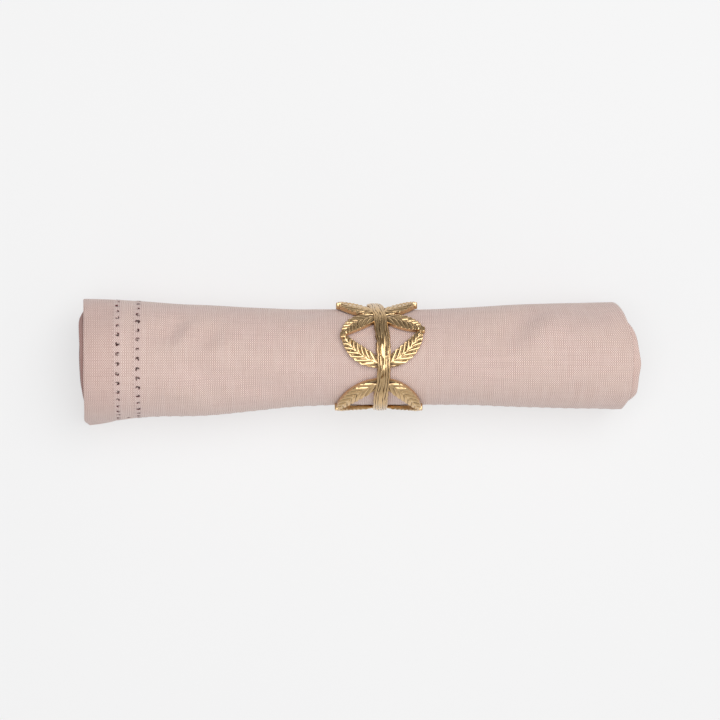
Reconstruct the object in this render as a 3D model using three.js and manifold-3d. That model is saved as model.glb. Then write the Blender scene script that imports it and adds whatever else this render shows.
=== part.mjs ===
// A hemstitched cotton table napkin, folded in half, rolled up and held in a cast brass
// napkin ring, lying on a table. Millimetres. +Z is up, +X runs along the roll to its
// folded end, and -Y is the front, where the loose edge of the cloth comes down.
//
// The cloth is one closed solid: the doubled sheet wound as a real spiral, with a little
// air between the turns and an open heart. The ring is one solid: a twig hoop with leaves.
import * as THREE from "three";
import { mergeVertices } from "three/addons/utils/BufferGeometryUtils.js";
import Module from "manifold-3d";

const wasm = await Module();
wasm.setup();

// ---- Driving dimensions -------------------------------------------------------------

// A table is a list of rows with named columns.
const table = (names, rows) =>
  rows.map((row) => Object.fromEntries(names.map((name, i) => [name, row[i]])));

// Angles round the roll are in degrees from the top, positive towards the front.
const roll = {
  turns: 3.55, // turns of the doubled cloth, from the loose edge in to the heart
  looseEdge: 150, // angle at which the loose outer edge lies
  angleStep: 15, // one facet of the winding
  air: 0.45, // gap between one turn and the next
  flapTurns: 0.3, // the stretch of the loose edge that can stand off the roll
  endReach: 60, // how far in from each end the turns slide towards their own edge
};

// Sections along the roll, from the hems to the fold. back, front and top are how far the
// outer face reaches from the middle line y = 0 and from the table, base is its height over
// the table, middle is the height of the winding's centre, flat is half the angle of the
// flat spot that rests on the table, pitch is one turn of doubled cloth and air, and
// flapOut and flapDown are how far the loose edge stands off the roll and drops.
const sections = table(
  ["x", "back", "front", "top", "base", "middle", "flat", "pitch", "flapOut", "flapDown"],
  [
    [-127, 26.8, 27.2, 50.6, 0.0, 24.9, 16.5, 2.3, 18.5, 0.6],
    [-112, 26.4, 27.0, 50.2, 0.0, 24.8, 16.5, 2.2, 15.8, 0.6],
    [-103, 25.8, 26.8, 49.9, 0.0, 24.7, 16.5, 1.8, 11.0, 0.5],
    [-93, 25.2, 26.7, 49.4, 0.0, 24.5, 16.5, 1.6, 5.0, 0.3],
    [-84, 24.3, 27.1, 48.9, 0.0, 24.3, 16.5, 1.6, 2.0, 0.1],
    [-70, 23.9, 27.0, 48.3, 0.0, 24.1, 16.5, 1.6, 0.0, 0.0],
    [-52, 22.8, 25.1, 47.3, 0.8, 24.0, 0.0, 1.6, 0.0, 0.0],
    [-30, 22.1, 22.7, 46.4, 2.4, 24.3, 0.0, 1.6, 0.0, 0.0],
    [-10, 21.9, 21.9, 46.0, 3.5, 24.5, 0.0, 1.6, 0.0, 0.0],
    [30, 21.8, 21.9, 46.0, 3.5, 24.5, 0.0, 1.6, 0.0, 0.0],
    [50, 22.8, 21.9, 46.5, 1.8, 24.2, 0.0, 1.6, 0.0, 0.0],
    [70, 24.1, 22.8, 47.2, 0.0, 23.8, 16.5, 1.6, 0.0, 0.0],
    [92, 24.7, 23.4, 47.7, 0.0, 23.9, 16.5, 1.6, 0.0, 0.0],
    [110, 25.1, 23.9, 48.0, 0.0, 24.0, 16.5, 1.65, 0.0, 0.0],
    [122, 25.3, 24.0, 48.0, 0.0, 24.0, 16.5, 1.7, 0.0, 0.0],
  ],
);

// x of the cloth's two ends, turn by turn from the loose edge in: the hemmed edges on the
// left, and the fold on the right. At the top of the roll the inner turns slide out past the
// outer one, and at its back they are drawn in.
const ends = table(
  ["turn", "hems", "fold"],
  [
    [0.0, -125.4, 121.0],
    [0.17, -125.6, 121.6],
    [0.42, -124.4, 123.9],
    [0.56, -125.7, 121.9],
    [0.67, -127.2, 116.8],
    [1.0, -125.4, 119.5],
    [1.17, -124.8, 120.6],
    [1.3, -127.2, 125.4],
    [1.42, -127.4, 127.4],
    [1.5, -127.5, 124.9],
    [1.58, -126.2, 120.0],
    [1.67, -126.0, 115.6],
    [2.0, -125.8, 118.6],
    [2.2, -124.6, 119.8],
    [2.31, -126.6, 123.6],
    [2.42, -127.0, 125.6],
    [2.5, -126.9, 123.2],
    [2.67, -125.4, 115.4],
    [3.0, -125.0, 118.0],
    [3.2, -124.4, 119.6],
    [3.42, -126.2, 125.0],
    [3.55, -125.6, 120.4],
  ],
);

// The ring goes round the waist of the roll and stands on the table.
const ring = {
  outer: 24.6, // radius over the twig
  bore: 22.9, // radius inside, clear of the cloth
  y: 0.1,
  z: 24.6,
};
const twig = {
  width: 6.5,
  neck: 6, // width between a node's two pairs of leaves
  sides: 10,
  facets: 60, // facets round the hoop
};
const leaf = {
  width: 7.4,
  stalk: 2.2, // width where it leaves the twig
  tip: 1.3, // width of the blunt tip
  crown: 24.5, // radius over the midrib
  rim: 24.15, // radius over the edges
  liftBefore: 0.1, // how far the pair before a node stands off the bore
  liftAfter: 0.3, // and the pair after it, so that the tips lap
  facets: 9,
};

// The twig wanders a little along the roll on its way round.
const wander = table(
  ["angle", "x"],
  [
    [-90, 6.4],
    [-65, 7.9],
    [-45, 9.3],
    [-15, 10.5],
    [10, 10.8],
    [55, 9.4],
    [90, 9.0],
    [130, 9.6],
    [180, 10.0],
    [225, 8.6],
    [270, 6.4],
  ],
);

// Node by node round the hoop: its angle, and how far before and after it the stalks of its
// two pairs of leaves leave the twig. Then where the tips of the pair before it meet those of
// the node behind, on the left and on the right. The bows say how far the midribs bend
// towards the corner that their ends make: both before, and left and right after.
const nodes = table(
  ["angle", "before", "after", "leftAngle", "leftX", "rightAngle", "rightX", "bow", "leftBow", "rightBow"],
  [
    [-52, 3, 3, -78, -9.6, -80, 24.8, 0.15, 0.55, 0.3],
    [20, 11, 8, -23.5, -7.6, -30, 28.0, 0.44, 0.44, 0.44],
    [122, 10, 10, 74, -10.2, 74, 27.2, 0.44, 0.44, 0.44],
    [223, 10, 10, 170, -9.8, 170, 28.2, 0.44, 0.44, 0.44],
  ],
);

// The middle of the footprint of cloth and ring, which is the part's origin.
const footprint = { x: 0, y: -2.85 };

// ---- Helpers ------------------------------------------------------------------------

const radians = THREE.MathUtils.degToRad;
const { lerp, euclideanModulo, smoothstep } = THREE.MathUtils;

// Reads a table between its rows: the value of a column where the key column is at value.
function read(rows, key, value, column, ease = (share) => share) {
  const next = rows.findIndex((row) => row[key] >= value);
  if (next <= 0) return rows.at(next)[column];
  const [a, b] = [rows[next - 1], rows[next]];
  const share = (value - a[key]) / (b[key] - a[key]);
  return lerp(a[column], b[column], ease(share));
}

// A closed surface from rings of points, each joined to the next. The first and last are
// joined to each other in a loop, or else capped by a ladder of faces across each of them.
function skin(rings, { loop = false } = {}) {
  const points = rings.flat();
  const sides = rings[0].length;
  const faces = [];
  const quad = (a, b, c, d) => faces.push(a, b, c, a, c, d);
  rings.slice(loop ? 0 : 1).forEach((_, i) => {
    const here = i * sides;
    const there = ((i + 1) % rings.length) * sides;
    for (let k = 0; k < sides; k++) {
      const next = (k + 1) % sides;
      quad(here + k, here + next, there + next, there + k);
    }
  });
  if (!loop) {
    const last = points.length - sides;
    for (let k = 0; k < sides / 2 - 1; k++) {
      const across = sides - 1 - k;
      quad(k, across, across - 1, k + 1);
      quad(last + k, last + k + 1, last + across - 1, last + across);
    }
  }
  const volume = (a, b, c) => a.dot(new THREE.Vector3().crossVectors(b, c));
  let total = 0;
  for (let f = 0; f < faces.length; f += 3) {
    total += volume(...faces.slice(f, f + 3).map((index) => points[index]));
  }
  if (total < 0) faces.reverse(); // faces point outwards
  const geometry = new THREE.BufferGeometry().setFromPoints(points);
  geometry.setIndex(faces);
  return geometry;
}

// Joins closed geometries into one solid.
function join(geometries) {
  const solids = geometries.map((geometry) => {
    const bare = mergeVertices(geometry, 1e-4);
    const vertProperties = new Float32Array(bare.attributes.position.array);
    const triVerts = new Uint32Array(bare.index.array);
    return new wasm.Manifold(new wasm.Mesh({ numProp: 3, vertProperties, triVerts }));
  });
  const whole = solids.reduce((sum, solid) => sum.add(solid)).getMesh();
  const geometry = new THREE.BufferGeometry();
  const positions = new THREE.BufferAttribute(new Float32Array(whole.vertProperties), 3);
  geometry.setAttribute("position", positions);
  geometry.setIndex(new THREE.BufferAttribute(new Uint32Array(whole.triVerts), 1));
  return geometry;
}

// ---- The rolled napkin --------------------------------------------------------------

// How much of a turn lies between the loose edge and an angle, going inwards.
const turnAt = (angle) => euclideanModulo(roll.looseEdge - angle, 360) / 360;

// Radius of the closed curve that the winding starts from: four quarter ellipses, whose
// half axes reach the section's sides once the spiral has drawn the face in that far.
function startRadius(section, angle) {
  const { back, front, top, base, middle, flat, pitch } = section;
  const a = Math.sin(radians(angle));
  const b = Math.cos(radians(angle));
  const down = (middle - base) / Math.cos(radians(flat));
  const sideways = a > 0 ? front + pitch * turnAt(90) : back + pitch * turnAt(-90);
  const upright = b > 0 ? top - middle + pitch * turnAt(0) : down + pitch * turnAt(180);
  return 1 / Math.hypot(a / sideways, b / upright);
}

// A point of the winding's outer face in its section: y, and height over the table.
function facePoint(section, turn) {
  const angle = roll.looseEdge - 360 * turn;
  const a = Math.sin(radians(angle));
  const b = Math.cos(radians(angle));
  let radius = startRadius(section, angle) - section.pitch * turn;
  if (b < 0) {
    const clear = section.middle - section.base - section.pitch * Math.floor(turn);
    radius = Math.min(radius, clear / -b); // the flat spot, and the turns pressed over it
  }
  const loose = Math.max(0, 1 - turn / roll.flapTurns) ** 3;
  const y = -radius * a - section.flapOut * loose;
  const z = section.middle + radius * b - section.flapDown * loose;
  return new THREE.Vector2(y, Math.max(z, 0));
}

// x of a point: near each end of the roll the turns slide towards their own edge.
function placeAlong(section, turn) {
  const first = sections[0].x;
  const last = sections.at(-1).x;
  const nearHems = Math.max(0, 1 - (section.x - first) / roll.endReach);
  const nearFold = Math.max(0, 1 - (last - section.x) / roll.endReach);
  const hemsShift = read(ends, "turn", turn, "hems") - first;
  const foldShift = read(ends, "turn", turn, "fold") - last;
  return section.x + nearHems * hemsShift + nearFold * foldShift;
}

// The doubled cloth: at each angle of the winding a ring of points runs along its outer
// face from hems to fold, and back along its inner face.
function rolledNapkin() {
  const last = Math.round((roll.turns * 360) / roll.angleStep);
  const turns = Array.from({ length: last + 1 }, (_, i) => (i * roll.angleStep) / 360);
  const faces = sections.map((section) => turns.map((turn) => facePoint(section, turn)));
  const rings = turns.map((turn, i) => {
    const outside = [];
    const inside = [];
    sections.forEach((section, j) => {
      const face = faces[j];
      const along = face[Math.min(last, i + 1)].clone().sub(face[Math.max(0, i - 1)]);
      const inwards = new THREE.Vector2(along.y, -along.x).setLength(section.pitch - roll.air);
      const under = face[i].clone().add(inwards);
      const x = placeAlong(section, turn);
      outside.push(new THREE.Vector3(x, face[i].x, face[i].y));
      inside.unshift(new THREE.Vector3(x, under.x, Math.max(under.y, 0)));
    });
    return [...outside, ...inside];
  });
  return skin(rings);
}

// ---- The ring -----------------------------------------------------------------------

// A point of the ring: x along the roll, an angle round it and a radius.
function ringPoint(x, angle, radius) {
  const a = radians(angle);
  return new THREE.Vector3(x, ring.y - radius * Math.sin(a), ring.z + radius * Math.cos(a));
}

// x of the twig's middle at an angle.
function twigX(angle) {
  const start = wander[0].angle;
  const turned = start + euclideanModulo(angle - start, 360);
  return read(wander, "angle", turned, "x", (share) => (1 - Math.cos(Math.PI * share)) / 2);
}

// The twig: a rounded bar bent into a hoop, a little narrower at each node's neck.
function twigHoop() {
  const middle = (ring.outer + ring.bore) / 2;
  const rise = (ring.outer - ring.bore) / 2;
  const rounded = (value, power) => Math.sign(value) * Math.abs(value) ** power;
  const rings = Array.from({ length: twig.facets }, (_, i) => {
    const angle = (360 * i) / twig.facets;
    const away = nodes.map((node) => 180 - Math.abs(euclideanModulo(angle - node.angle, 360) - 180));
    const swell = smoothstep(Math.min(...away), 0, 20);
    const half = lerp(twig.neck, twig.width, swell) / 2;
    return Array.from({ length: twig.sides }, (_, k) => {
      const corner = (2 * Math.PI * (k + 0.5)) / twig.sides;
      const across = half * rounded(Math.cos(corner), 0.8);
      const out = rise * rounded(Math.sin(corner), 0.6);
      return ringPoint(twigX(angle) + across, angle, middle + out);
    });
  });
  return skin(rings, { loop: true });
}

// One leaf, laid out on the ring's round surface: a bowed midrib from stalk to tip, a
// pointed oval outline about it, and a face crowned along the midrib.
function leafBlade({ stalkAngle, tipAngle, tipX, bow, lift }) {
  const arc = radians(ring.outer); // length round the ring for each degree
  const stalk = new THREE.Vector2(twigX(stalkAngle), stalkAngle * arc);
  const tip = new THREE.Vector2(tipX, tipAngle * arc);
  const halfway = stalk.clone().lerp(tip, 0.5);
  const corner = new THREE.Vector2(tip.x, stalk.y);
  const midrib = new THREE.QuadraticBezierCurve(stalk, halfway.lerp(corner, bow), tip);
  const rings = Array.from({ length: leaf.facets + 1 }, (_, i) => {
    const share = i / leaf.facets;
    const along = midrib.getTangent(share);
    const across = new THREE.Vector2(-along.y, along.x);
    const ends = lerp(leaf.stalk, leaf.tip, share);
    const swell = Math.sin(Math.PI * share ** 0.85) ** 0.8;
    const half = lerp(ends, leaf.width, swell) / 2;
    const put = (side, radius) => {
      const at = midrib.getPoint(share).addScaledVector(across, side * half);
      return ringPoint(at.x, at.y / arc, radius + lift);
    };
    return [
      put(-1, leaf.rim),
      put(0, leaf.crown),
      put(1, leaf.rim),
      put(1, ring.bore),
      put(0, ring.bore),
      put(-1, ring.bore),
    ];
  });
  return skin(rings);
}

function napkinRing() {
  const blades = nodes.flatMap((node, i) => {
    const round = i === nodes.length - 1 ? 360 : 0;
    const next = nodes[(i + 1) % nodes.length];
    const before = { stalkAngle: node.angle - node.before, bow: node.bow, lift: leaf.liftBefore };
    const after = { stalkAngle: node.angle + node.after, lift: leaf.liftAfter };
    return ["left", "right"].flatMap((side) => [
      leafBlade({ ...before, tipAngle: node[side + "Angle"], tipX: node[side + "X"] }),
      leafBlade({
        ...after,
        tipAngle: next[side + "Angle"] + round,
        tipX: next[side + "X"],
        bow: node[side + "Bow"],
      }),
    ]);
  });
  return join([twigHoop(), ...blades]);
}

// ---- The part -----------------------------------------------------------------------

const cotton = new THREE.MeshStandardMaterial({ color: 0xd2bab2, roughness: 0.92, metalness: 0 });
const brass = new THREE.MeshStandardMaterial({ color: 0xc2a36b, roughness: 0.32, metalness: 1 });

function piece(name, geometry, material) {
  const mesh = new THREE.Mesh(geometry, material);
  mesh.name = name;
  return mesh;
}

const part = new THREE.Group();
part.position.set(-footprint.x, -footprint.y, 0);
part.add(piece("napkin_roll", rolledNapkin(), cotton));
part.add(piece("napkin_ring", napkinRing(), brass));

export default part;
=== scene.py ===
import math

import bpy
import numpy as np
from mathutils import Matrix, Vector, noise


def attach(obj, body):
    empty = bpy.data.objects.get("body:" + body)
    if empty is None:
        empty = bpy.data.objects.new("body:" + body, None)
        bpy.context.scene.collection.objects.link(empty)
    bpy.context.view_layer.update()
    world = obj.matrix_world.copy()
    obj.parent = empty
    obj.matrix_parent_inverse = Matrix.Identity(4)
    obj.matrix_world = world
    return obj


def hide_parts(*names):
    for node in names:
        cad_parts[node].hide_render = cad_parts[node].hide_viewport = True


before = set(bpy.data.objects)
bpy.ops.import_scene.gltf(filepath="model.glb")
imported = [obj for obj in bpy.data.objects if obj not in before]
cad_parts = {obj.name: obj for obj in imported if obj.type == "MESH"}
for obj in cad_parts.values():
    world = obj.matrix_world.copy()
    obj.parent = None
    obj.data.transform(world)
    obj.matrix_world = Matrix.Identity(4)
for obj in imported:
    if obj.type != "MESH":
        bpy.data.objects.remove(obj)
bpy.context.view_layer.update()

# ---- The table it lies on, the light and the camera ----------------------------------
# A smooth pale table, lit softly by the whole room, which is brighter at the front right,
# and by one wide softbox overhead. The camera looks straight down at the roll's middle.

MM = 0.001


class Socket:
    """An output in a material. Sums written with it add Math nodes."""

    def __init__(self, tree, output):
        self.tree = tree
        self.output = output

    def node(self, kind, settings=None, sockets=None, output=0):
        """Adds a node: its settings first, then the values or links of its sockets."""
        made = self.tree.nodes.new(kind)
        for name, value in (settings or {}).items():
            setattr(made, name, value)
        for name, value in (sockets or {}).items():
            if isinstance(value, Socket):
                self.tree.links.new(value.output, made.inputs[name])
            else:
                made.inputs[name].default_value = value
        return Socket(self.tree, made.outputs[output])

    def maths(self, operation, *values):
        return self.node("ShaderNodeMath", {"operation": operation}, dict(enumerate(values)))

    def __add__(self, other):
        return self.maths("ADD", self, other)

    def __radd__(self, other):
        return self.maths("ADD", other, self)

    def __sub__(self, other):
        return self.maths("SUBTRACT", self, other)

    def __rsub__(self, other):
        return self.maths("SUBTRACT", other, self)

    def __mul__(self, other):
        return self.maths("MULTIPLY", self, other)

    def __rmul__(self, other):
        return self.maths("MULTIPLY", other, self)

    def __truediv__(self, other):
        return self.maths("DIVIDE", self, other)

    def __rtruediv__(self, other):
        return self.maths("DIVIDE", other, self)

    def __abs__(self):
        return self.maths("ABSOLUTE", self)

    def sine(self):
        return self.maths("SINE", self)

    def fraction(self):
        return self.maths("FRACT", self)

    def lower(self, other):
        return self.maths("MINIMUM", self, other)

    def between(self, low, high):
        """0 at low, 1 at high, and a smooth step from one to the other."""
        ends = {"Value": self, "From Min": low, "From Max": high}
        return self.node("ShaderNodeMapRange", {"interpolation_type": "SMOOTHSTEP"}, ends)

    def part(self, axis):
        """This vector's x, y or z, by 0, 1 or 2."""
        return self.node("ShaderNodeSeparateXYZ", {}, {"Vector": self}, axis)

    def stretch(self, x, y, z):
        """This vector with each part times a number: a small one draws a mottle out long."""
        sockets = {0: self, 1: (x, y, z)}
        return self.node("ShaderNodeVectorMath", {"operation": "MULTIPLY"}, sockets)

    def mottle(self, scale, detail=2.0):
        """Even noise from 0 to 1 over this vector."""
        sockets = {"Vector": self, "Scale": scale, "Detail": detail}
        return self.node("ShaderNodeTexNoise", {"noise_dimensions": "3D"}, sockets)

    def mix(self, low, high):
        """A colour from low to high, as this mask goes from 0 to 1."""
        colours = {"Factor": self, 6: low, 7: high}
        return self.node("ShaderNodeMix", {"data_type": "RGBA"}, colours, 2)


def colour(red, green, blue):
    """A colour as it is named on a screen, from 0 to 255, as light for a shader."""
    light = []
    for value in (red, green, blue):
        level = value / 255
        light.append(level / 12.92 if level <= 0.04045 else ((level + 0.055) / 1.055) ** 2.4)
    return (*light, 1.0)


def new_material(name):
    """A material's shader node, and a Socket with which its other nodes are added."""
    material = bpy.data.materials.new(name)
    material.use_nodes = True
    shader = material.node_tree.nodes["Principled BSDF"]
    return material, shader, Socket(material.node_tree, None)


def new_piece(name, points, faces, material):
    """A mesh object from points in millimetres and faces."""
    mesh = bpy.data.meshes.new(name)
    mesh.from_pydata((np.asarray(points) * MM).tolist(), [], faces)
    mesh.materials.append(material)
    mesh.shade_smooth()
    piece = bpy.data.objects.new(name, mesh)
    bpy.context.scene.collection.objects.link(piece)
    return piece


scene = bpy.context.scene
scene.view_settings.view_transform = "Standard"
scene.view_settings.look = "None"

table_half = 1500.0
table_face = -0.05  # just clear of the cloth
table_top, table_shader, nodes = new_material("pale_table")
grain = nodes.node("ShaderNodeTexCoord", output=3).mottle(6.0, 3.0)
table_colour = grain.mix(colour(158, 158, 159), colour(161, 161, 161))
table_top.node_tree.links.new(table_colour.output, table_shader.inputs["Base Color"])
table_shader.inputs["Roughness"].default_value = 0.9
table_shader.inputs["Specular IOR Level"].default_value = 0.1
# it is lit from everywhere at once, which a faint glow of its own stands in for
table_shader.inputs["Emission Color"].default_value = (1, 1, 1, 1)
table_shader.inputs["Emission Strength"].default_value = 0.55
table_signs = ((-1, -1), (1, -1), (1, 1), (-1, 1))
corners = [(x * table_half, y * table_half, table_face) for x, y in table_signs]
table = new_piece("table", corners, [(0, 1, 2, 3)], table_top)

room = bpy.data.worlds.new("room")
scene.world = room
room.use_nodes = True
sky = Socket(room.node_tree, None)
facing = sky.node("ShaderNodeTexCoord", output=0)
brightest = Vector((0.45, -0.80, 0.40)).normalized()  # to the right, the front and up
directions = {0: facing, 1: brightest}
towards = facing.node("ShaderNodeVectorMath", {"operation": "DOT_PRODUCT"}, directions, 1)
dim_side = (0.19, 0.19, 0.195, 1)
bright_side = (0.64, 0.64, 0.635, 1)
glow = towards.between(-1.0, 1.0).mix(dim_side, bright_side)
background = room.node_tree.nodes["Background"]
room.node_tree.links.new(glow.output, background.inputs["Color"])
background.inputs["Strength"].default_value = 1.0

lamp = bpy.data.lights.new("softbox", "AREA")
lamp.shape = "RECTANGLE"
lamp.size = 0.9
lamp.size_y = 1.5
lamp.energy = 13.2
softbox = bpy.data.objects.new("softbox", lamp)
scene.collection.objects.link(softbox)
softbox.location = (0.18, 0.24, 1.35)
lit_spot = Vector((0, 0, 0.02))
softbox.rotation_euler = (lit_spot - softbox.location).to_track_quat("-Z", "Y").to_euler()

camera_data = bpy.data.cameras.new("camera")
camera = bpy.data.objects.new("camera", camera_data)
scene.collection.objects.link(camera)
view_width = 331.2  # of what the camera sees, at the height of the roll's middle
half_height = 24.6
camera_height = 1200.0  # over the roll's middle
camera_y = 1.47  # a little behind the part's origin
camera_data.sensor_width = 36.0
camera_data.lens = camera_data.sensor_width * camera_height / view_width
camera.location = (0.0, camera_y * MM, (camera_height + half_height) * MM)
scene.camera = camera

# ---- The napkin ----------------------------------------------------------------------
# A cotton table napkin half a metre square, hemmed and hemstitched on all four sides. It
# is folded in half, with the fold at the right, and wound up loosely three and a half
# times from its far side, so that a round heart stays open and the loose edge lies below.

# Sections along the roll in millimetres, from the hems to the fold: how far the outer face
# reaches back, front and up, its height over the table, the height of the winding's centre,
# half the angle of its flat spot, the pitch of a turn, and how the loose edge stands off.
section_names = "x back front top base middle flat pitch out down"
section_rows = [
    [-127, 26.8, 27.2, 50.6, 0.0, 24.9, 16.5, 2.3, 18.5, 0.6],
    [-112, 26.4, 27.0, 50.2, 0.0, 24.8, 16.5, 2.2, 15.8, 0.6],
    [-103, 25.8, 26.8, 49.9, 0.0, 24.7, 16.5, 1.8, 11.0, 0.5],
    [-93, 25.2, 26.7, 49.4, 0.0, 24.5, 16.5, 1.6, 5.0, 0.3],
    [-84, 24.3, 27.1, 48.9, 0.0, 24.3, 16.5, 1.6, 2.0, 0.1],
    [-70, 23.9, 27.0, 48.3, 0.0, 24.1, 16.5, 1.6, 0.0, 0.0],
    [-52, 22.8, 25.1, 47.3, 0.8, 24.0, 0.0, 1.6, 0.0, 0.0],
    [-30, 22.1, 22.7, 46.4, 2.4, 24.3, 0.0, 1.6, 0.0, 0.0],
    [-10, 21.9, 21.9, 46.0, 3.5, 24.5, 0.0, 1.6, 0.0, 0.0],
    [30, 21.8, 21.9, 46.0, 3.5, 24.5, 0.0, 1.6, 0.0, 0.0],
    [50, 22.8, 21.9, 46.5, 1.8, 24.2, 0.0, 1.6, 0.0, 0.0],
    [70, 24.1, 22.8, 47.2, 0.0, 23.8, 16.5, 1.6, 0.0, 0.0],
    [92, 24.7, 23.4, 47.7, 0.0, 23.9, 16.5, 1.6, 0.0, 0.0],
    [110, 25.1, 23.9, 48.0, 0.0, 24.0, 16.5, 1.65, 0.0, 0.0],
    [122, 25.3, 24.0, 48.0, 0.0, 24.0, 16.5, 1.7, 0.0, 0.0],
]
sections = dict(zip(section_names.split(), np.array(section_rows, float).T))

# Where the hemmed edges and the fold lie along x, turn by turn from the loose edge in.
edge_rows = [
    [0.00, -126.9, 121.0],
    [0.03, -127.4, 121.0],
    [0.10, -127.5, 120.6],
    [0.17, -126.9, 120.4],
    [0.21, -126.0, 120.8],
    [0.24, -125.6, 121.6],
    [0.28, -125.1, 123.2],
    [0.42, -124.5, 123.9],
    [0.50, -124.9, 122.6],
    [0.53, -125.2, 121.6],
    [0.58, -125.8, 119.8],
    [0.62, -126.5, 118.0],
    [0.67, -127.2, 116.2],
    [0.85, -126.4, 117.0],
    [1.00, -125.4, 119.5],
    [1.17, -124.8, 120.6],
    [1.24, -125.2, 122.6],
    [1.27, -125.6, 126.0],
    [1.30, -126.0, 126.3],
    [1.36, -126.2, 126.5],
    [1.39, -126.2, 127.7],
    [1.42, -126.4, 126.7],
    [1.45, -126.6, 126.2],
    [1.48, -127.0, 125.6],
    [1.50, -127.2, 124.8],
    [1.53, -127.6, 123.0],
    [1.55, -127.6, 120.5],
    [1.58, -125.8, 118.5],
    [1.67, -125.6, 115.6],
    [2.00, -125.8, 118.6],
    [2.20, -124.6, 119.8],
    [2.31, -126.6, 123.6],
    [2.42, -127.0, 125.6],
    [2.50, -126.9, 123.2],
    [2.67, -125.4, 115.4],
    [3.00, -125.0, 118.0],
    [3.20, -124.4, 119.6],
    [3.42, -126.2, 125.0],
    [3.55, -125.6, 120.4],
]
edges = dict(zip(("turn", "hems", "fold"), np.array(edge_rows, float).T))

origin_y = 2.85  # from the roll's middle line to the part's origin
loose_angle = 150.0  # degrees from the top, positive towards the front
turns = 3.55
air = 0.45  # between one turn and the next
loose_turns = 0.3  # the stretch of the loose edge that stands off the roll
slide = 60.0  # how far in from each end the turns slide towards their own edge
section_rounding = 6.0  # along x, between one section and the next
edge_rounding = 0.02  # of a turn, in the rows above

# Soft creases: where the middle of each is along the roll and round it (degrees),
# its run along x and round the roll from end to end, its half width, and how high it is.
creases = [
    [-84.6, -31, -5, 13, 4.8, -2.40],
    [-79.4, -25, -5, 13, 3.4, 1.80],
    [-93.0, -26, 8, 5, 5.0, -1.10],
    [-67.0, -27, -6, 9, 3.8, -1.60],
    [-62.0, -10, -6, 9, 3.8, 1.30],
    [-58.0, 0, 56, 4, 4.0, 1.10],
    [-73.0, 15, 13, 10, 3.2, -1.10],
    [-65.5, 42, 1, 12, 3.0, -1.00],
    [-47.0, 32, 22, 9, 4.5, -1.20],
    [-84.0, 36, 16, 3, 6.0, 1.20],
    [-118.0, -50, 9, 5, 7.0, -1.00],
    [-116.0, -20, 9, 5, 7.0, 0.80],
    [-25.0, -66, 13, -2, 4.5, -1.30],
    [-25.0, -41, 16, -2, 4.5, 0.90],
    [73.4, -40, -13, 20, 7.5, -2.60],
    [82.0, -26, -13, 20, 7.5, 2.30],
    [107.0, -62, 16, 3, 7.0, -1.40],
    [105.0, -24, 16, 3, 7.0, 1.20],
    [60.0, 24, 40, -8, 8.0, 0.50],
    [95.0, 48, -20, 14, 6.0, -0.60],
    [-106.0, 86, 5, 12, 3.0, -0.70],
    [-40.0, -105, 30, 10, 6.0, -0.50],
    [-95.0, -120, 20, 14, 6.0, -0.55],
    [70.0, -118, -26, 12, 6.0, -0.50],
    [105.0, 110, 18, -14, 6.0, -0.45],
]
crease_radius = 25.0  # of the roll, where a crease's degrees are turned into millimetres
crease_reach = 0.55  # of its run, each way from its middle
crease_fading = 0.18  # of its height, from each turn to the one inside it
ring_middle = 9.5
ring_grip = 24.0  # each side of that the ring holds the cloth smooth
ring_release = 12.0  # the creases come to their full height over this stretch


def rounded_table(table, key, value, at, reach):
    """Reads a table of straight runs with its corners rounded over reach each way."""
    steps = np.linspace(-reach, reach, 9)
    return np.mean([np.interp(at + step, table[key], table[value]) for step in steps], axis=0)


def crease_height(along, angle):
    """How far the creases lift or sink the cloth at x and an angle round the roll."""
    height = np.zeros(np.broadcast(along, angle).shape)
    round_mm = math.radians(crease_radius)  # millimetres of cloth for a degree
    for x, middle, run, sweep, half_width, lift in creases:
        away = (angle - middle + 180) % 360 - 180
        dx = along - x
        dy = away * round_mm
        length = math.hypot(run, sweep)
        down_it = (dx * run + dy * sweep) / length
        off_it = (dy * run - dx * sweep) / length
        across = (off_it / half_width) ** 2
        lengthways = (down_it / (crease_reach * length)) ** 4
        height += lift * np.exp(-across - lengthways)
    return height


def wound_face(along, turn):
    """The winding's outer face, as y and z, and its strip's thickness."""
    look = {}
    for name in sections:
        look[name] = rounded_table(sections, "x", name, along, section_rounding)
    angle = loose_angle - 360 * turn
    a = np.sin(np.radians(angle))
    b = np.cos(np.radians(angle))
    pitch = look["pitch"]
    # the share of a turn from the loose edge to each side, by which the winding has shrunk
    to_front, to_back, to_top, to_base = (
        (loose_angle - side_angle) % 360 / 360 for side_angle in (90, -90, 0, 180)
    )
    down = (look["middle"] - look["base"]) / np.cos(np.radians(look["flat"]))
    sideways = np.where(a > 0, look["front"] + pitch * to_front, look["back"] + pitch * to_back)
    upright = np.where(b > 0, look["top"] - look["middle"] + pitch * to_top, down + pitch * to_base)
    radius = 1 / np.hypot(a / sideways, b / upright) - pitch * turn
    fading = 1 - crease_fading * turn
    clear_of_ring = np.clip((np.abs(along - ring_middle) - ring_grip) / ring_release, 0, 1)
    radius = radius + crease_height(along, angle) * fading * clear_of_ring
    # no turn dips below the flat spot it lies on
    clear = look["middle"] - look["base"] - pitch * np.floor(turn)
    radius = np.where(b < 0, np.minimum(radius, clear / np.maximum(-b, 1e-6)), radius)
    # the loose edge springs out from the roll and down to the table
    loose = np.maximum(0, 1 - turn / loose_turns) ** 3
    y = -radius * a - look["out"] * loose
    z = look["middle"] + radius * b - look["down"] * loose
    return y, z, pitch - air + 0 * turn


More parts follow.
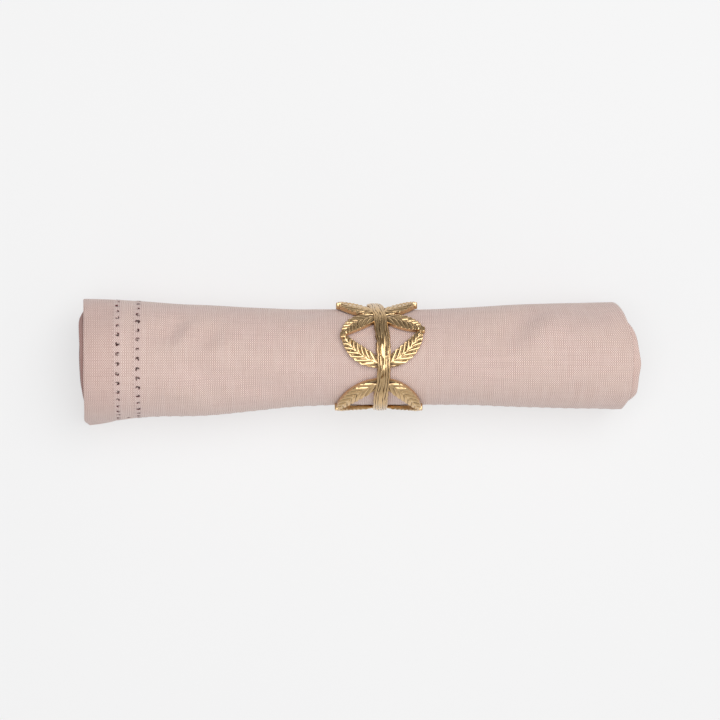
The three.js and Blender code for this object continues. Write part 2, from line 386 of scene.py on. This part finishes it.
def place_along(along, turn):
    """x of the cloth, with each turn slid towards its own edges."""
    first = sections["x"][0]
    last = sections["x"][-1]
    near_hems = np.maximum(0, 1 - (along - first) / slide)
    near_fold = np.maximum(0, 1 - (last - along) / slide)
    hems = rounded_table(edges, "turn", "hems", turn, edge_rounding) - first
    fold = rounded_table(edges, "turn", "fold", turn, edge_rounding) - last
    return along + near_hems * hems + near_fold * fold


# The cloth is laid out flat in cells, each with its size in millimetres and a mark. The
# lines near an edge are set by the hem and by the two rows of holes beside it. Each row is a
# strip of cells, marked 2 in the row next to the hem and 3 in the other. It has holes in
# turn: the first row where the lines across it run through cells marked 1, and the second
# where they run through cells marked -1. Both have one at 4, and where two rows cross.
plain_cloth = 0.5  # thickness
hem_cloth = 0.85
hem_row = 3.0
row_gap = 1.7
winding_gap = 2.1
winding_between = 2.2
edge_bead = 0.4  # the last strip before a cut edge, where the cloth thins
fold_radius = 0.4
fold_steps = 6
edge_cells = [(edge_bead, 0), (4.6, 0), (4.7, 0), (4.7, 0)]
hem_cells = [(hem_row, 2), (row_gap, 0), (hem_row, 4), (row_gap, 0), (hem_row, 3)]
hem_width = sum(size for size, _ in edge_cells)
winding_hem = [(edge_bead, 0)] + [(2.775, 0)] * 4
winding_row = [(hem_row, 2), (winding_gap, 0), (winding_between, 4)]
winding_row += [(winding_gap, 0), (hem_row, 3)]
leaf_width = 249.0
winding_middle = 205  # cells between the two pairs of rows
winding_cell = 2.17
leaf_middle = 80

s_cells = winding_hem + winding_row
s_cells += [(winding_cell, 1 - 2 * (i % 2)) for i in range(winding_middle)]
s_cells += (winding_hem + winding_row)[::-1]
s_lines = np.concatenate([[0], np.cumsum([size for size, _ in s_cells])])
s_marks = [mark for _, mark in s_cells]

leaf_start = sum(size for size, _ in edge_cells + hem_cells)
leaf_cell = (leaf_width - leaf_start - fold_radius) / leaf_middle
leaf_cells = edge_cells + hem_cells
leaf_cells += [(leaf_cell, 2 * (i % 2) - 1) for i in range(leaf_middle)]
leaf_lines = np.concatenate([[0], np.cumsum([size for size, _ in leaf_cells])])
leaf_marks = [mark for _, mark in leaf_cells]
w_marks = leaf_marks + [0] * fold_steps + leaf_marks[::-1]

# Length along the winding, by the section through the hemstitch rows, gives each line its
# turn. It is measured in short steps.
rows_x = -112.0
fine_count = 1200
fine_turns = np.linspace(0, turns, fine_count)
fine_y, fine_z, _ = wound_face(np.array([rows_x]), fine_turns[:, None])
fine_steps = np.hypot(np.diff(fine_y[:, 0]), np.diff(fine_z[:, 0]))
fine_length = np.concatenate([[0], np.cumsum(fine_steps)])
winding_length = fine_length[-1]
s_lines = s_lines * winding_length / s_lines[-1]
turn_lines = np.interp(s_lines, fine_length, fine_turns)[:, None]

# Each line across: how far from its hem edge it is, how far through the fold's bend, and
# its place on the cloth laid flat.
bend = np.linspace(0, math.pi, fold_steps + 1)
in_bend = np.full(fold_steps - 1, leaf_lines[-1])
from_edge = np.concatenate([leaf_lines, in_bend, leaf_lines[::-1]])
flat_part = np.zeros(len(leaf_lines) - 1)
bent = np.concatenate([flat_part, bend, flat_part + math.pi])
on_fold = leaf_lines[-1] + fold_radius * bend[1:-1]
second_leaf = 2 * leaf_width + fold_radius - leaf_lines[::-1]
w_line_mm = np.concatenate([leaf_lines, on_fold, second_leaf])


def hem_share(distance):
    """1 in a hem, where the cloth is folded over twice, and 0 in the plain cloth."""
    return np.clip((hem_row + hem_width - distance) / hem_row, 0, 1)


thin_edge = 0.55  # of its thickness is left at a cut edge
from_s_edge = np.minimum(s_lines, s_lines[-1] - s_lines)[:, None]
side_hemmed = hem_share(from_s_edge)
hemmed = np.maximum(hem_share(from_edge)[None, :], side_hemmed)
thickness = plain_cloth + (hem_cloth - plain_cloth) * hemmed
from_any_edge = np.minimum(from_edge[None, :], from_s_edge)
half_thickness = thickness / 2 * np.where(from_any_edge < edge_bead / 4, thin_edge, 1.0)

# The inner leaf's hem slips out past the outer one, up to a millimetre, unevenly.
along = sections["x"][0] + from_edge
mean_slip = 0.5
slip_sway = 0.6
slip = mean_slip + slip_sway * np.sin(9.0 * turn_lines) * np.sin(4.0 * turn_lines + 1)
inner_leaf = np.clip((bent[None, :] - 1) / 2, 0, 1)
along = along[None, :] + slip * inner_leaf * np.maximum(0, 1 - from_edge / slide)

# Each point lies at its leaf's depth in the strip, square to the winding's run there.
turn_step = 0.004
face_y, face_z, strip = wound_face(along, turn_lines)
before_y, before_z, _ = wound_face(along, np.maximum(turn_lines - turn_step, 0))
after_y, after_z, _ = wound_face(along, np.minimum(turn_lines + turn_step, turns))
run_y = after_y - before_y
run_z = after_z - before_z
run = np.hypot(run_y, run_z)
in_y = run_z / run
in_z = -run_y / run
strip = strip + (hem_cloth - plain_cloth) * side_hemmed
bend_radius = (strip - thickness) / 2
depth = strip / 2 - bend_radius * np.cos(bent)[None, :]
at_fold = from_edge > leaf_width - 1
cloth_x = place_along(along, turn_lines) + bend_radius * (np.sin(bent)[None, :] - 1) * at_fold
cloth_y = face_y + in_y * depth
cloth_z = np.maximum(face_z + in_z * depth, half_thickness)
grid = np.stack([cloth_x, cloth_y + origin_y, cloth_z], axis=-1)

# Each point's place in the weave, and its mark for painted shade: 1 on the rim of a hole, -1 on
# the turns that lie in the dark under the rows of holes, and -0.5 for a lighter painted shade at
# the left end of the inner turns.
rows_covered = 0.93  # the turn from which the rows lie under the one outside them
rows_reach = 16.0  # from the hem to just past the second row
left_covered = 1.2
left_shade = 8.0
# painted shade: the turns under the rows of holes, and the left end of the inner turns
shade_under_rows = (turn_lines > rows_covered) & (from_edge > hem_width - hem_row)
shade_under_rows = shade_under_rows & (from_edge < hem_width + rows_reach)
left_end_shade = (turn_lines > left_covered) & (from_edge < left_shade) & (w_line_mm < leaf_width)
shade_marks = -np.maximum(1.0 * shade_under_rows, 0.5 * left_end_shade)
weave_mm = (s_lines[:, None], w_line_mm[None, :], shade_marks)
grid_weave = np.stack(np.broadcast_arrays(*weave_mm), axis=-1)


def pierced(row, cell):
    """Whether a row of holes, by its mark, has one where it meets a cell with this mark."""
    return (row == 2 and cell >= 1) or (row == 3 and (cell == -1 or cell >= 2))


def between_corners(four, u, v):
    """The place at u across and v down a cell, given something for each of its corners."""
    a, b, c, d = four
    return (1 - v) * ((1 - u) * a + u * b) + v * ((1 - u) * d + u * c)


# A hole is a ring of eight points, torn unevenly, with a bit of thread left in at one of
# them. A face of four points and one of three join it to each side of its cell.
hole_radius = 0.84
hole_most = 0.42  # of its cell's size
hole_uneven = 0.4
hole_torn = 0.6
left_thread = -0.15  # it reaches a little past the hole's middle
rows_n, columns_n = cloth_x.shape
points = grid.reshape(-1, 3).tolist()
weave_at = grid_weave.reshape(-1, 3).tolist()
thick_at = (2 * half_thickness).reshape(-1).tolist()
faces = []
hole_corners = 8
hole_angles = np.radians(22.5 + 45 * np.arange(hole_corners))
# the ring starts towards corner 2 and goes round to 3, 0 and 1
hole_joins = ((2, 3), (3, 0), (0, 1), (1, 2))
for i in range(rows_n - 1):
    for j in range(columns_n - 1):
        here = i * columns_n + j
        corner = [here, here + 1, here + columns_n + 1, here + columns_n]
        if not (pierced(s_marks[i], w_marks[j]) or pierced(w_marks[j], s_marks[i])):
            faces.append(corner)
            continue
        spots = (grid[i, j], grid[i, j + 1], grid[i + 1, j + 1], grid[i + 1, j])
        weaves = (grid_weave[i, j], grid_weave[i, j + 1])
        weaves += (grid_weave[i + 1, j + 1], grid_weave[i + 1, j])
        across_mm = np.linalg.norm(spots[1] - spots[0])
        down_mm = np.linalg.norm(spots[3] - spots[0])
        size = min(hole_radius, hole_most * min(across_mm, down_mm))
        size *= 0.92 + hole_uneven * noise.noise(Vector((i * 3.7, j * 5.3, 0.5)))
        left_in = int(4 + 12 * noise.noise(Vector((i * 2.3, j * 1.9, 9.1)))) % hole_corners
        rim = []
        for k, angle in enumerate(hole_angles):
            torn = 1 + hole_torn * noise.noise(Vector((i * 3.7, j * 5.3, 1.7 * k)))
            torn = left_thread if k == left_in else torn
            u = 0.5 + size * torn * math.cos(angle) / across_mm
            v = 0.5 + size * torn * math.sin(angle) / down_mm
            rim.append(len(points))
            x, y, z = between_corners(spots, u, v)
            points.append((x, y, max(z, hem_cloth / 2)))
            in_weave = between_corners(weaves, u, v)
            # the rim's points take mark 1 for the painted shade round the hole, all but the thread
            # left in
            weave_at.append([in_weave[0], in_weave[1], 1.0 if k != left_in else 0.0])
            thick_at.append(hem_cloth)
        for k, (one, two) in enumerate(hole_joins):
            start, middle = rim[2 * k : 2 * k + 2]
            end = rim[(2 * k + 2) % hole_corners]
            faces.append([corner[one], corner[two], end, middle])
            faces.append([corner[one], middle, start])

cotton, cotton_shader, nodes = new_material("pink_cotton")
napkin = new_piece("rolled_napkin", points, faces, cotton)
weave_layer = napkin.data.attributes.new("weave", "FLOAT_VECTOR", "POINT")
weave_layer.data.foreach_set("vector", np.asarray(weave_at, float).ravel())
layers = napkin.vertex_groups.new(name="thickness")
for index, thick in enumerate(thick_at):
    layers.add([index], thick / hem_cloth, "REPLACE")
solid = napkin.modifiers.new("thickness", "SOLIDIFY")
solid.thickness = hem_cloth * MM
solid.offset = 0.0
solid.vertex_group = layers.name
solid.use_rim = True
solid.use_quality_normals = True
bpy.context.view_layer.objects.active = napkin
bpy.ops.object.modifier_apply(modifier=solid.name)

# The weave: one thread over, one under. The threads that run round the roll are pinker than
# those along it. They lie in pairs, closer in some patches than in others, and each sways
# and thickens a little on its way.
across_thread = 0.425  # from one thread that runs round the roll to the next
along_thread = 0.60  # and from one that runs along it to the next
cloth_at = nodes.node("ShaderNodeAttribute", {"attribute_name": "weave"}, output=1)
flat_at = cloth_at.stretch(1, 1, 0)
sway_round = (flat_at.stretch(0.012, 0.30, 0).mottle(1.0) - 0.5) * 0.5
sway_along = (flat_at.stretch(0.30, 0.012, 0).mottle(1.3) - 0.5) * 0.5
wave_round = ((cloth_at.part(0) + sway_round) / along_thread * math.pi).sine()
wave_along = ((cloth_at.part(1) + sway_along) / across_thread * math.pi).sine()
paired = flat_at.stretch(0.7, 1.3, 0).mottle(0.21, 2.0).between(0.36, 0.60)
over = wave_round * wave_along * 1.3 + wave_along * paired * 0.8 + wave_round * 0.15
slub_a = flat_at.stretch(1.1, 0.035, 0).mottle(1.0, 1.0)
slub_b = flat_at.stretch(0.035, 1.1, 0).mottle(1.0, 1.0)
pink_thread = slub_a.between(0.3, 0.7).mix(colour(181, 142, 135), colour(192, 154, 147))
pale_thread = slub_b.between(0.3, 0.7).mix(colour(243, 222, 212), colour(249, 231, 222))
beige = colour(190, 157, 143)
patches = flat_at.stretch(0.05, 0.03, 0).mottle(1.0, 2.0).between(0.35, 0.65)
pink_thread = (patches * 0.45).mix(pink_thread, beige)
denser = colour(228, 203, 194)  # the folded cloth of the hem lets less light through
in_hem = 1 - cloth_at.part(1).between(hem_width - 1, hem_width)
pale_thread = (in_hem * 0.55).mix(pale_thread, denser)
cloth_colour = (over + over * in_hem * 0.6).between(-0.7, 0.7).mix(pink_thread, pale_thread)

# The hemstitch: a cooler strip where threads are drawn, painted shade round each hole, and a
# needle mark in the hem beside it.
hole_rows = (1.5, 10.9)  # millimetres from the hem to the middle of each row
needle_rows = (-0.5, 8.9)
drawn_strip = colour(212, 188, 185)
needle = colour(150, 108, 102)
painted_hole_shade = colour(104, 38, 40)
deep_shade = colour(112, 44, 44)
mark = cloth_at.part(2)
for row in hole_rows:
    from_row = abs(cloth_at.part(1) - (hem_width + row))
    drawn = (1 - from_row.between(1.0, 2.2)) * 0.25
    cloth_colour = drawn.mix(cloth_colour, drawn_strip)
dots = 0.0
for row in needle_rows:
    beside = cloth_at.part(1) - (hem_width + row)
    between = ((cloth_at.part(0) / winding_cell).fraction() - 0.5) * winding_cell
    dots = (1 - (beside * beside + between * between).between(0.04, 0.16)) + dots
cloth_colour = dots.lower(0.35).mix(cloth_colour, needle)
# painted shade round the rim of each hole
cloth_colour = mark.between(0.72, 0.98).mix(cloth_colour, painted_hole_shade)
# painted shade on the turns under the rows of holes, lighter at the left end of the inner turns
cloth_colour = (0 - mark).between(0.1, 0.9).mix(cloth_colour, deep_shade)
links = cotton.node_tree.links
links.new(cloth_colour.output, cotton_shader.inputs["Base Color"])
cotton_shader.inputs["Roughness"].default_value = 0.85
cotton_shader.inputs["Specular IOR Level"].default_value = 0.25
cotton_shader.inputs["Sheen Weight"].default_value = 0.35
cotton_shader.inputs["Sheen Roughness"].default_value = 0.5
relief = abs(wave_round) + abs(wave_along) + (slub_a + slub_b) * 0.5
thread_relief = {"Height": relief, "Distance": 0.08 * MM, "Strength": 0.8}
bump = relief.node("ShaderNodeBump", {}, thread_relief)
links.new(bump.output, cotton_shader.inputs["Normal"])

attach(napkin, "root")
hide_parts("napkin_roll")

# ---- The napkin ring -----------------------------------------------------------------
# A brass ring, cast in one piece, polished and lacquered: a twig hoop with two pairs of
# leaves at each of its four nodes, whose tips meet those of the next. It grips the waist of
# the roll, and its lowest point stands on the table.

hoop_outer = 24.6  # radius
hoop_bore = 22.9
hoop_y = 0.1 + origin_y
hoop_z = 24.6
arc = math.radians(hoop_outer)  # millimetres round the hoop for a degree
wander = [  # angle and x of the twig's middle
    [-90, 6.4],
    [-65, 7.9],
    [-45, 9.3],
    [-15, 10.5],
    [10, 10.8],
    [55, 9.4],
    [90, 9.0],
    [130, 9.6],
    [180, 10.0],
    [225, 8.6],
    [270, 6.4],
]
wander = np.array(wander)
# Node by node: its angle, and how far before and after it the stalks of its pairs of leaves
# leave the twig. Then the angle and x of the left and the right tips of the pair before it,
# and how far the midribs bow: of the pair before it, and of the left and right leaf after.
ring_nodes = [
    [-52, 3, 3, (-78, -9.6), (-80, 24.8), 0.15, 0.55, 0.3],
    [20, 11, 8, (-23.5, -7.6), (-30, 28.0), 0.44, 0.44, 0.44],
    [122, 10, 10, (74, -10.2), (74, 27.2), 0.44, 0.44, 0.44],
    [223, 10, 10, (170, -9.8), (170, 28.2), 0.44, 0.44, 0.44],
]


def ring_point(x, angle, radius):
    """The point at x along the roll, degrees round the hoop and a radius from its middle."""
    a = np.radians(angle)
    spots = np.broadcast_arrays(x, hoop_y - radius * np.sin(a), hoop_z + radius * np.cos(a))
    return np.stack(spots, axis=-1)


def twig_x(angle):
    """x of the twig's middle, which wanders a little on its way round."""
    turned = (angle - wander[0, 0]) % 360 + wander[0, 0]
    at = np.clip(np.searchsorted(wander[:, 0], turned, "right"), 1, len(wander) - 1)
    low = wander[at - 1]
    high = wander[at]
    share = (turned - low[..., 0]) / (high[..., 0] - low[..., 0])
    return low[..., 1] + (high[..., 1] - low[..., 1]) * (1 - np.cos(math.pi * share)) / 2


def bark(across, angle):
    """Height of the bark, from 0 in a crack to 1, at millimetres across the twig."""
    round_mm = angle * arc
    drift = noise.noise(Vector((across * 0.35, round_mm * 0.10, 3.1)))
    fine = noise.noise(Vector((across * 1.3, round_mm * 0.16, 8.4)))
    cracks = abs(math.sin(math.pi * (across * 0.95 + 0.7 * drift + 0.35 * fine)))
    return cracks**0.8


ring_shells = []


def add_shell(rings, heights, loop=False):
    """Adds a closed surface: rings of points joined in turn, with a height for each point."""
    sides = len(rings[0])
    offset = sum(len(part[0]) for part in ring_shells)
    shell = []
    count = len(rings)
    for i in range(count if loop else count - 1):
        for k in range(sides):
            n = (k + 1) % sides
            j = (i + 1) % count
            around = (i * sides + k, j * sides + k, j * sides + n, i * sides + n)
            shell.append([offset + v for v in around])
    if not loop:
        shell.append([offset + k for k in range(sides)])
        last = offset + (count - 1) * sides
        shell.append([last + k for k in reversed(range(sides))])
    ring_shells.append((np.concatenate(rings), shell, np.concatenate(heights)))


# The twig: a rounded bar with deep bark on its outside. It is a little narrower and higher
# at the nodes, where the stalks leave it, and its bark is worn flatter at the very top.
twig_width = 6.5
twig_neck = 6.0
neck_reach = 20.0  # degrees each side of a node
neck_rise = 0.45
bark_height = 0.48
bark_sunk = 0.30
worn_middle = 2.0  # degrees
worn_reach = 13.0
worn_share = 0.25
shaded_share = 0.3  # painted shade on the twig's left side, beside the near leaves
hoop_facets = 420
twig_sides = 72
twig_rings = []
twig_heights = []
thick = (hoop_outer - hoop_bore) / 2
for i in range(hoop_facets):
    angle = 360 * i / hoop_facets
    from_top = (angle + 180) % 360 - 180
    away = min(abs((angle - node[0] + 180) % 360 - 180) for node in ring_nodes)
    swell = min(1.0, away / neck_reach)
    swell = swell * swell * (3 - 2 * swell)
    half = (twig_neck + (twig_width - twig_neck) * swell) / 2
    over_stalks = neck_rise * (1 - swell)
    worn = math.exp(-(((from_top - worn_middle) / worn_reach) ** 4))
    ring_line = []
    height_line = []
    for k in range(twig_sides):
        corner = 2 * math.pi * (k + 0.5) / twig_sides
        cos = math.cos(corner)
        sin = math.sin(corner)
        across = half * math.copysign(abs(cos) ** 0.85, cos)
        out = thick * math.copysign(abs(sin) ** 0.7, sin)
        outer = max(0.0, sin) ** 0.4
        ridge = bark(across, angle)
        ridge = 1 - (1 - ridge) * (1 - worn_share * worn * (across > -1.0))
        relief_mm = outer * (bark_height * ridge - bark_sunk + over_stalks)
        radius = (hoop_outer + hoop_bore) / 2 + out + relief_mm
        swing = 0.12 * noise.noise(Vector((angle * 0.2, math.copysign(5.0, cos), 0)))
        ring_line.append(ring_point(twig_x(angle) + across * (1 + swing), angle, radius))
        left_side = min(1.0, max(0.0, (-across / half - 0.6) / 0.2))
        # painted shade: the twig's left side is darkened from 48 degrees behind the top to 12 in
        # front
        shaded = shaded_share * left_side * (-48 < from_top < 12)
        height_line.append((1 - outer * (1 - ridge)) * (1 - shaded))
    twig_rings.append(np.array(ring_line))
    twig_heights.append(np.array(height_line))
add_shell(twig_rings, twig_heights, loop=True)

# The leaves: each bows from its stalk on the twig to its tip, with a midrib, a plain rim and
# cushions between its veins. All the radii are from the middle of the hoop.
blade_width = 7.4
stalk_width = 2.2
tip_width = 1.3
crown_radius = 24.5
rim_radius = 24.15
inside_radius = 22.25
blade_sunk = 0.32
cushion_height = 0.72
midrib_height = 0.44
midrib_half = 0.26
rim_height = 0.56
full_height = 0.54  # a relief from here up is polished bright
leaf_flat = 1.0  # the ends of a blade stand out, as it is flatter than the hoop
middle_sunk = 0.25
stalk_sunk = 0.4
vein_pairs = 8
vein_slant = 0.22
lift_before = 0.1  # the leaves after a node lie a little higher than those before it
lift_after = 0.3
leaf_sideways = 26
leaf_lengthways = 60
leaf_shares = np.linspace(0, 1, leaf_lengthways + 1)
close_to_tip = 1 - 0.014 * np.array([0.7, 0.35, 0.1, 0.0])
leaf_shares = np.concatenate([leaf_shares[:-1], close_to_tip])
rounded_from = 0.972
rounded_over = 0.0285
# From one rim round the underside to the other: the share of the blade's half width, and of
# the height of its side.
side_wall = [(1.03 - 0.03 * up, up) for up in (0.75, 0.4, 0.08)]
underside = [(v, 0.0) for v in (0.9, 0.3, -0.3, -0.9)]
round_under = side_wall + underside + [(-v, up) for v, up in reversed(side_wall)]


def add_leaf(stalk_angle, tip_angle, tip_x, bow, lift):
    """Adds one leaf, by the angle of its stalk, its tip, its bow and how high it lies."""
    stalk = np.array([twig_x(stalk_angle), stalk_angle * arc])
    tip = np.array([tip_x, tip_angle * arc])
    corner = np.array([tip[0], stalk[1]])
    pull = (stalk + tip) / 2 * (1 - bow) + corner * bow
    lines = []
    levels = []
    for share in leaf_shares:
        spot = (1 - share) ** 2 * stalk + 2 * share * (1 - share) * pull + share**2 * tip
        run_way = 2 * (1 - share) * (pull - stalk) + 2 * share * (tip - pull)
        run_way /= np.linalg.norm(run_way)
        across_way = np.array([-run_way[1], run_way[0]])
        ends_width = stalk_width + (tip_width - stalk_width) * share
        swell = math.sin(math.pi * share**0.85) ** 0.8 if 0 < share < 1 else 0.0
        half = (ends_width + (blade_width - ends_width) * swell) / 2
        if share > rounded_from:
            half *= math.sqrt(max(0.0, 1 - ((share - rounded_from) / rounded_over) ** 2))
        at_tip = max(0.0, 2 * share - 1) ** 2
        at_stalk = max(0.0, 1 - share / 0.2)
        flatten = leaf_flat * (at_tip - middle_sunk - stalk_sunk * at_stalk)
        line = []
        level = []
        for k in range(leaf_sideways + 1):
            v = 2 * k / leaf_sideways - 1
            bare = crown_radius + (rim_radius - crown_radius) * abs(v) ** 1.4
            vein = vein_pairs * (share - vein_slant * abs(v) * swell) + 0.4
            pillow = math.sin(math.pi * (vein - math.floor(vein)) ** 0.8) ** 0.68
            in_blade = min(1.0, share / 0.30) * min(1.0, (1 - share) / 0.12)
            midrib = math.exp(-((v * half / midrib_half) ** 2))
            cushion = in_blade * cushion_height * pillow * (1 - midrib)
            rim = min(1.0, max(0.0, (abs(v) - 0.80) / 0.10))
            rim *= 1 - 0.5 * max(0.0, (abs(v) - 0.95) / 0.05)
            relief_mm = max(cushion + midrib_height * midrib, rim_height * rim)
            radius = bare - blade_sunk + relief_mm + lift + flatten
            at = spot + across_way * v * half
            line.append(ring_point(at[0], at[1] / arc, radius))
            level.append(min(1.0, relief_mm / full_height))
        side_height = rim_radius + flatten - inside_radius
        for v, up in round_under:
            radius = inside_radius + side_height * up + lift
            at = spot + across_way * half * v
            line.append(ring_point(at[0], at[1] / arc, radius))
            level.append(1.0 if up > 0 else 0.5)
        lines.append(np.array(line))
        levels.append(np.array(level))
    add_shell(lines, levels)


for number, node in enumerate(ring_nodes):
    node_angle, stalks_before, stalks_after, left_tip, right_tip = node[:5]
    before_bow, left_bow, right_bow = node[5:]
    following = ring_nodes[(number + 1) % len(ring_nodes)]
    whole_turn = 360 if number == len(ring_nodes) - 1 else 0
    pairs = ((left_tip, following[3], left_bow), (right_tip, following[4], right_bow))
    for tip_before, tip_after, after_bow in pairs:
        add_leaf(node_angle - stalks_before, *tip_before, before_bow, lift_before)
        after_angle = tip_after[0] + whole_turn
        add_leaf(node_angle + stalks_after, after_angle, tip_after[1], after_bow, lift_after)

# The small blocks in which the tips of two leaves meet: rounded squares, from the bore out.
block_sides = 24
block_round = 0.4
block_level = 0.9
block_steps = ((22.4, 1.2), (22.7, 1.4), (25.1, 1.4), (25.35, 1.25), (25.4, 0.9))
for node in ring_nodes:
    for tip_angle, tip_x in node[3:5]:
        lines = []
        for radius, half in block_steps:
            corners = 2 * math.pi * (np.arange(block_sides) + 0.5) / block_sides
            across = half * np.sign(np.cos(corners)) * np.abs(np.cos(corners)) ** block_round
            round_mm = half * np.sign(np.sin(corners)) * np.abs(np.sin(corners)) ** block_round
            turned = tip_angle + np.degrees(round_mm / hoop_outer)
            lines.append(ring_point(tip_x + across, turned, radius))
        add_shell(lines, [np.full(block_sides, block_level)] * len(lines))

brass, brass_shader, nodes = new_material("cast_brass")
ring_points = np.concatenate([part[0] for part in ring_shells])
ring_points[:, 2] = np.maximum(ring_points[:, 2], 0)  # the bark stands flat on the table
ring_faces = [face for part in ring_shells for face in part[1]]
ring_levels = np.concatenate([part[2] for part in ring_shells])
ring = new_piece("leaf_ring", ring_points, ring_faces, brass)
level_layer = ring.data.attributes.new("relief", "FLOAT", "POINT")
level_layer.data.foreach_set("value", ring_levels)
ring.data.set_sharp_from_angle(angle=math.radians(50))

# The brass is dark and dull in the grooves, which the polish doesn't reach, and pale and bright on
# top, under a coat of lacquer. On the twig's left side it is darkened further by painted shade.
groove_brown = colour(68, 40, 13)
polished = colour(216, 181, 132)
level = nodes.node("ShaderNodeAttribute", {"attribute_name": "relief"}, output=2)
place = nodes.node("ShaderNodeTexCoord", output=3)
tarnish = place.mottle(260.0, 4.0)
speckle = place.mottle(1400.0, 2.0)
raised = (level + (tarnish - 0.5) * 0.5).between(0.15, 0.75)
brass_colour = raised.mix(groove_brown, polished)
rough = 0.42 - raised * 0.20 + (speckle - 0.5) * 0.10
links = brass.node_tree.links
links.new(brass_colour.output, brass_shader.inputs["Base Color"])
links.new(rough.output, brass_shader.inputs["Roughness"])
brass_shader.inputs["Metallic"].default_value = 1.0
brass_shader.inputs["Coat Weight"].default_value = 0.6
brass_shader.inputs["Coat Roughness"].default_value = 0.12
grain = {"Height": tarnish + speckle * 0.4, "Distance": 0.08 * MM, "Strength": 0.5}
grain_bump = speckle.node("ShaderNodeBump", {}, grain)
links.new(grain_bump.output, brass_shader.inputs["Normal"])

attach(ring, "root")
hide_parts("napkin_ring")
